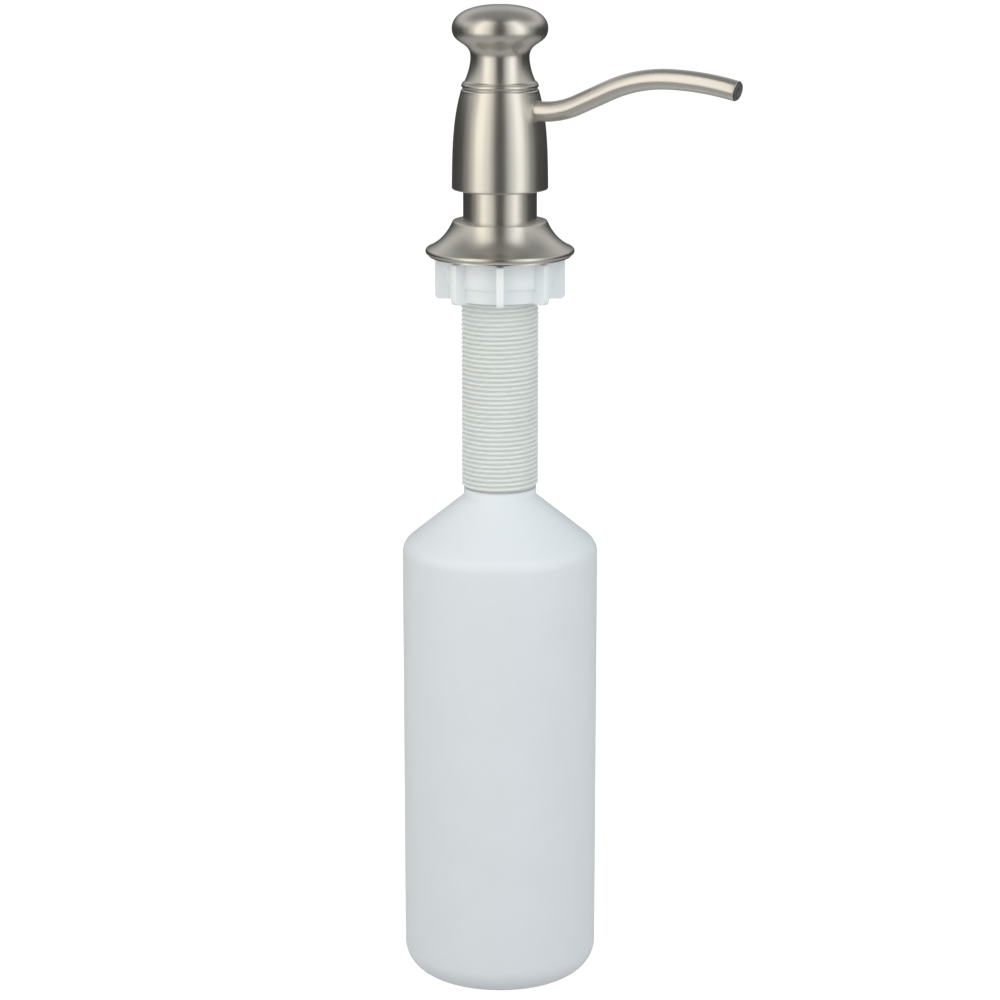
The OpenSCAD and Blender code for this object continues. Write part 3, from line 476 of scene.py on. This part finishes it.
# ---- Clamp washer and nut ---------------------------------------------------------------
# The nut is one moulding of bluish white nylon with eight wings for the fingers. It clamps the
# counter from below through a thin plastic friction washer.
nut_top = -0.75
nut_bottom = -13.95
nut_bore_r = 12.55
hub_r = 17.2
lower_hub_r = 16.4
hub_step_z = -8.85
hub_end = -13.45
nut = turned("winged_nut", [
    (nut_bore_r, hub_end), (lower_hub_r, hub_end), (lower_hub_r, hub_step_z), (hub_r, hub_step_z),
    (hub_r, nut_top), (nut_bore_r, nut_top)], steps=96)
wing_r = 21.0
wing_t = 2.3
wing_root_r = 15.2
wing_h = nut_top - 0.1 - nut_bottom
wing_count = 8
first_wing = -62
wings = []
for turn in range(wing_count):
    bpy.ops.object.select_all(action="DESELECT")
    bpy.ops.mesh.primitive_cube_add(size=1)
    wing = bpy.context.object
    bpy.ops.object.mode_set(mode="EDIT")
    bpy.ops.mesh.select_all(action="SELECT")
    bpy.ops.transform.resize(value=((wing_r - wing_root_r) * MM, wing_t * MM, wing_h * MM))
    bpy.ops.transform.translate(
        value=((wing_r + wing_root_r) / 2 * MM, 0, (nut_bottom + wing_h / 2) * MM))
    bpy.ops.object.mode_set(mode="OBJECT")
    corner = wing.modifiers.new("lower_corner", "BEVEL")
    corner.limit_method = "WEIGHT"
    weights = wing.data.attributes.new("bevel_weight_edge", "FLOAT", "EDGE")
    for edge in wing.data.edges:
        ends = [wing.data.vertices[v].co for v in edge.vertices]
        outer = all(e.x > (wing_r - 0.1) * MM for e in ends)
        level = abs(ends[0].z - ends[1].z) < 1e-6
        if outer and level:
            weights.data[edge.index].value = 1.0 if ends[0].z < -5 * MM else 0.12
    corner.width = 1.6 * MM
    corner.segments = 6
    bpy.ops.object.modifier_apply(modifier=corner.name)
    bpy.ops.object.mode_set(mode="EDIT")
    bpy.ops.mesh.select_all(action="SELECT")
    bpy.ops.transform.rotate(value=-radians(first_wing + 360 / wing_count * turn),
                             orient_axis="Z", center_override=(0, 0, 0))
    bpy.ops.object.mode_set(mode="OBJECT")
    wings.append(wing)
bpy.ops.object.select_all(action="DESELECT")
for wing in wings:
    wing.select_set(True)
bpy.context.view_layer.objects.active = wings[0]
bpy.ops.object.join()
wings = bpy.context.object
bpy.ops.object.select_all(action="DESELECT")
bpy.context.view_layer.objects.active = nut
nut.select_set(True)
union = nut.modifiers.new("wings", "BOOLEAN")
union.operation = "UNION"
union.solver = "EXACT"
union.object = wings
bpy.ops.object.modifier_apply(modifier=union.name)
bpy.data.objects.remove(wings)
finished(nut, angle=32, edge=0.28, segments=3)
nut_plastic = plastic("nut_white_plastic", (0.86, 0.91, 0.94), (0.82, 0.88, 0.91), roughness=0.34)
nut.data.materials.append(nut_plastic)
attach(nut, "nut")
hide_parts("mounting_nut")
white_foam = plastic("washer_white_foam", (0.80, 0.81, 0.80), (0.74, 0.75, 0.74), roughness=0.7,
                     bump=0.3, depth=0.1, skin_scale=3500.0)
give(white_foam, "clamp_washer")

# ---- Bottle and its seal ----------------------------------------------------------------
# Blow-moulded from bluish white polyethylene, with a thin wall and a pushed-up base. Its
# finish screws up into the end of the shank against a flat rubber seal.
neck_top = -76.3
neck_base = -79.1
neck_r = 11.85
finish_top = -66.5
finish_r = 10.25
finish_bore_r = 8.65
bottle_r = 32.0
foot_r = 32.0
bottle_base = -242.8
wall = 1.0
shoulder_angle = 39
shoulder_slope = radians(shoulder_angle)
shoulder_round = 6.0
base_round = 9.5
hollow = 2.2
edge_z = neck_base - (bottle_r - neck_r) * tan(shoulder_slope)
shoulder_c = (bottle_r - shoulder_round, edge_z - shoulder_round * tan(radians(45) - shoulder_slope / 2))
foot_c = (foot_r - base_round, bottle_base + base_round)


def bottle_side(inset):
    """The bottle's side, pulled in by inset: shoulder, body and the base's rounded edge."""
    shoulder = arc(shoulder_c, shoulder_round - inset, 90 - shoulder_angle, 0, 10)
    foot = arc(foot_c, base_round - inset, 0, -90, 14)
    body = [(shoulder[-1][0] + (foot[0][0] - shoulder[-1][0]) * i / 12,
             shoulder[-1][1] + (foot[0][1] - shoulder[-1][1]) * i / 12) for i in range(1, 12)]
    return shoulder + body + foot


cone_drop = wall / cos(shoulder_slope) - (neck_r - finish_bore_r) * tan(shoulder_slope)
stand_r = foot_r - base_round - 3
bottle = turned("bottle_body", [
    (finish_bore_r, finish_top), (finish_r - 0.3, finish_top), (finish_r, finish_top - 0.3),
    (finish_r, neck_top), (neck_r - 0.25, neck_top), (neck_r, neck_top - 0.25),
    (neck_r, neck_base + 0.35), (neck_r + 0.12, neck_base + 0.05), (neck_r + 0.4, neck_base - 0.33),
    *bottle_side(0),
    (stand_r, bottle_base), (stand_r - 1.2, bottle_base + 0.5), (stand_r - 3, bottle_base + 1.3),
    (0, bottle_base + hollow), (0, bottle_base + hollow + wall),
    (stand_r - 3, bottle_base + 1.3 + wall), (stand_r, bottle_base + wall),
    *reversed(bottle_side(wall)), (finish_bore_r, neck_base - cone_drop)], steps=160)
finished(bottle, angle=30)
bottle_plastic = plastic("bottle_white_polythene", (0.85, 0.92, 0.99), (0.83, 0.905, 0.965),
                         roughness=0.36, bump=0.03, depth=0.5)
bottle.data.materials.append(bottle_plastic)
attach(bottle, "bottle")
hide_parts("bottle")
grey_rubber = rubber("grey_rubber", (0.16, 0.165, 0.17), (0.2, 0.2, 0.2))
give(grey_rubber, "bottle_seal")

# ---- Pump body --------------------------------------------------------------------------
# Moulded pump that stands in the sleeve: cap, cylinder, ball cage and dip tube in natural and
# white plastic, steel ball and return spring, and rubber seals. It lifts out as one unit.
white_acetal = plastic("white_acetal", (0.80, 0.80, 0.77), (0.77, 0.77, 0.73), roughness=0.28)
clear_poly = plastic("milky_polypropylene", (0.72, 0.76, 0.77), (0.68, 0.72, 0.74), roughness=0.3,
                     depth=0.5)
give(white_acetal, "pump_cap", "ball_cage")
give(clear_poly, "pump_cylinder", "dip_tube")
give(black_rubber, "stem_seal", "cylinder_gasket")
steel = nickel("polished_steel", (300.0, 300.0, 300.0, 0.0), stretch=0.0, bump=0.04)
give(steel, "inlet_ball", "return_spring", "outlet_ball")

# ---- Plunger ----------------------------------------------------------------------------
# The white acetal stem and piston that the head pushes down, with a grey lip seal.
give(white_acetal, "pump_stem", "piston")
give(grey_rubber, "piston_seal")

# ---- Head shell, core and bush ----------------------------------------------------------
# The barrel, neck and knob are one turned brass piece with a brushed nickel finish. A plastic
# core pressed inside carries the stem and the spout, and a slip bush guides it on the sleeve.
barrel_z = 21.5
barrel_h = 31.8
barrel_r = 15.45
barrel_top_r = 12.3
barrel_bore_r = 12.67
neck_bore_r = 6.2
neck_bore_top = 73.9
pocket_r = 9.0
pocket_top = 51.9
core_z = 43.0
spout_z = 46.9
drill_r = 3.22


def barrel_side_r(height):
    """Radius of the barrel's swelling side."""
    rise = (height - barrel_z) / barrel_h
    return barrel_r - (barrel_r - barrel_top_r) * (0.87 * rise ** 3.4 + 0.13 * rise)


side_foot = 22.0
side_top = 52.6
lower_rim = arc((barrel_side_r(side_foot) - 0.5, side_foot), 0.5, -90, 0, 6)
side_heights = [side_foot + (side_top - side_foot) * i / 40 for i in range(1, 41)]
side = [(barrel_side_r(z), z) for z in side_heights]
groove_r = 11.85
bead = [*arc((11.81, side_top), 0.7, 12, 80, 7), (groove_r, 53.36), (groove_r, 53.5), (12.0, 53.62),
        *arc((11.55, 54.45), 0.8, -62, 62, 12), (12.0, 55.28), (groove_r, 55.4), (groove_r, 55.5)]
neck_foot = (11.35, 55.75)
waist = (9.4, 63.4)
knob = (15.3, 72.4)
top = (0, 79.9)
neck = curve(neck_foot, (10.5, 57.4), (9.4, 60.67), waist, 18)
under_knob = curve(waist, (9.4, 68.53), (15.3, 67.27), knob, 30)
dome = curve(knob, (15.3, 76.82), (10.02, 79.9), top, 34)
head = turned("head_shell_turned", [
    (barrel_bore_r, barrel_z + 0.4), (barrel_bore_r + 0.3, barrel_z), *lower_rim, *side, *bead,
    neck_foot, *neck, *under_knob, *dome, (0, neck_bore_top), (neck_bore_r, neck_bore_top),
    (neck_bore_r, pocket_top), (pocket_r, pocket_top), (pocket_r, core_z), (barrel_bore_r, core_z)],
    steps=144)
bpy.ops.object.select_all(action="DESELECT")
bpy.ops.mesh.primitive_cylinder_add(vertices=64, radius=drill_r * MM, depth=14 * MM)
drill = bpy.context.object
bpy.ops.object.mode_set(mode="EDIT")
bpy.ops.transform.rotate(value=pi / 2, orient_axis="Y", center_override=(0, 0, 0))
bpy.ops.transform.translate(value=(12 * MM, 0, spout_z * MM))
bpy.ops.object.mode_set(mode="OBJECT")
bpy.ops.object.select_all(action="DESELECT")
head.select_set(True)
bpy.context.view_layer.objects.active = head
hole = head.modifiers.new("spout_hole", "BOOLEAN")
hole.operation = "DIFFERENCE"
hole.solver = "EXACT"
hole.object = drill
bpy.ops.object.modifier_apply(modifier=hole.name)
bpy.data.objects.remove(drill)
finished(head, angle=40)
head.data.materials.append(turned_nickel)
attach(head, "head")
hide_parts("head_shell")
give(white_acetal, "head_core", "guide_bush")

# ---- Spout, its liner, seal and outlet --------------------------------------------------
# A bent brass tube with the same finish, pressed through the barrel's side into the core. A
# plastic liner carries the soap, and a dark plug with a small hole closes the end.
spout_r = 3.2
spout_wall = 0.6
# Stations of the centre line: each bend's radius and angle, the straight after it, and its steps
stations = [(9.3, spout_z, 0.0), (15.1, spout_z, 0.0)]
for bend_r, turn_angle, straight, steps in ((30, 24.5, 11.9, 14), (50, -24.5, 0, 14),
                                            (102, -13, 0, 12)):
    x, z, slope = stations[-1]
    side_sign = 1 if turn_angle > 0 else -1
    centre_x = x - side_sign * bend_r * sin(slope)
    centre_z = z + side_sign * bend_r * cos(slope)
    for i in range(1, steps + 1):
        a = slope + radians(turn_angle) * i / steps
        stations.append((centre_x + side_sign * bend_r * sin(a),
                         centre_z - side_sign * bend_r * cos(a), a))
    if straight:
        x, z, slope = stations[-1]
        for i in range(1, 4):
            along = straight * i / 3
            stations.append((x + along * cos(slope), z + along * sin(slope), slope))
tip_x, tip_z, tip_slope = stations[-1]
bpy.ops.object.select_all(action="DESELECT")
bpy.ops.mesh.primitive_circle_add(vertices=64, radius=spout_r * MM)
spout = bpy.context.object
spout.name = "spout_tube_bent"
bpy.ops.object.mode_set(mode="EDIT")
bpy.ops.mesh.select_all(action="SELECT")
bpy.ops.transform.rotate(value=pi / 2, orient_axis="Y", center_override=(0, 0, 0))
x, z, slope = stations[0]
bpy.ops.transform.translate(value=(x * MM, 0, z * MM))
for next_x, next_z, next_slope in stations[1:]:
    bpy.ops.mesh.extrude_region_move(
        TRANSFORM_OT_translate={"value": ((next_x - x) * MM, 0, (next_z - z) * MM)})
    bpy.ops.transform.rotate(value=next_slope - slope, orient_axis="Y",
                             center_override=(next_x * MM, 0, next_z * MM))
    x, z, slope = next_x, next_z, next_slope
bpy.ops.mesh.select_all(action="SELECT")
bpy.ops.mesh.normals_make_consistent(inside=False)
bpy.ops.object.mode_set(mode="OBJECT")
tube_wall = spout.modifiers.new("wall", "SOLIDIFY")
tube_wall.thickness = spout_wall * MM
tube_wall.offset = -1
bpy.ops.object.modifier_apply(modifier=tube_wall.name)
finished(spout, angle=40, edge=0.22, segments=4)
spout_nickel = nickel("brushed_nickel_spout", (5200.0, 30.0, 30.0, 0.0), stretch=0.0, bump=0.1)
spout.data.materials.append(spout_nickel)
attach(spout, "head")
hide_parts("spout_tube")

plug_r = 2.4
plug_depth = 5
mouth_r = 1.1
outlet = turned("outlet_plug", [
    (mouth_r, -plug_depth), (plug_r, -plug_depth), (plug_r, 0.05), (plug_r + 0.25, 0.05),
    *arc((plug_r + 0.2, 0.3), 0.2, -20, 90, 6), (1.55, 0.5), (1.3, 0.35), (mouth_r, 0.0)], steps=64)
bpy.ops.object.mode_set(mode="EDIT")
bpy.ops.mesh.select_all(action="SELECT")
bpy.ops.transform.rotate(value=-(pi / 2 - tip_slope), orient_axis="Y", center_override=(0, 0, 0))
bpy.ops.transform.translate(value=(tip_x * MM, 0, tip_z * MM))
bpy.ops.object.mode_set(mode="OBJECT")
finished(outlet)
dark_plastic = plastic("dark_grey_plastic", (0.075, 0.078, 0.08), (0.1, 0.1, 0.1), roughness=0.32,
                       depth=0.0)
outlet.data.materials.append(dark_plastic)
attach(outlet, "head")
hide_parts("nozzle_insert")
give(clear_poly, "spout_liner")
give(black_rubber, "spout_seal")
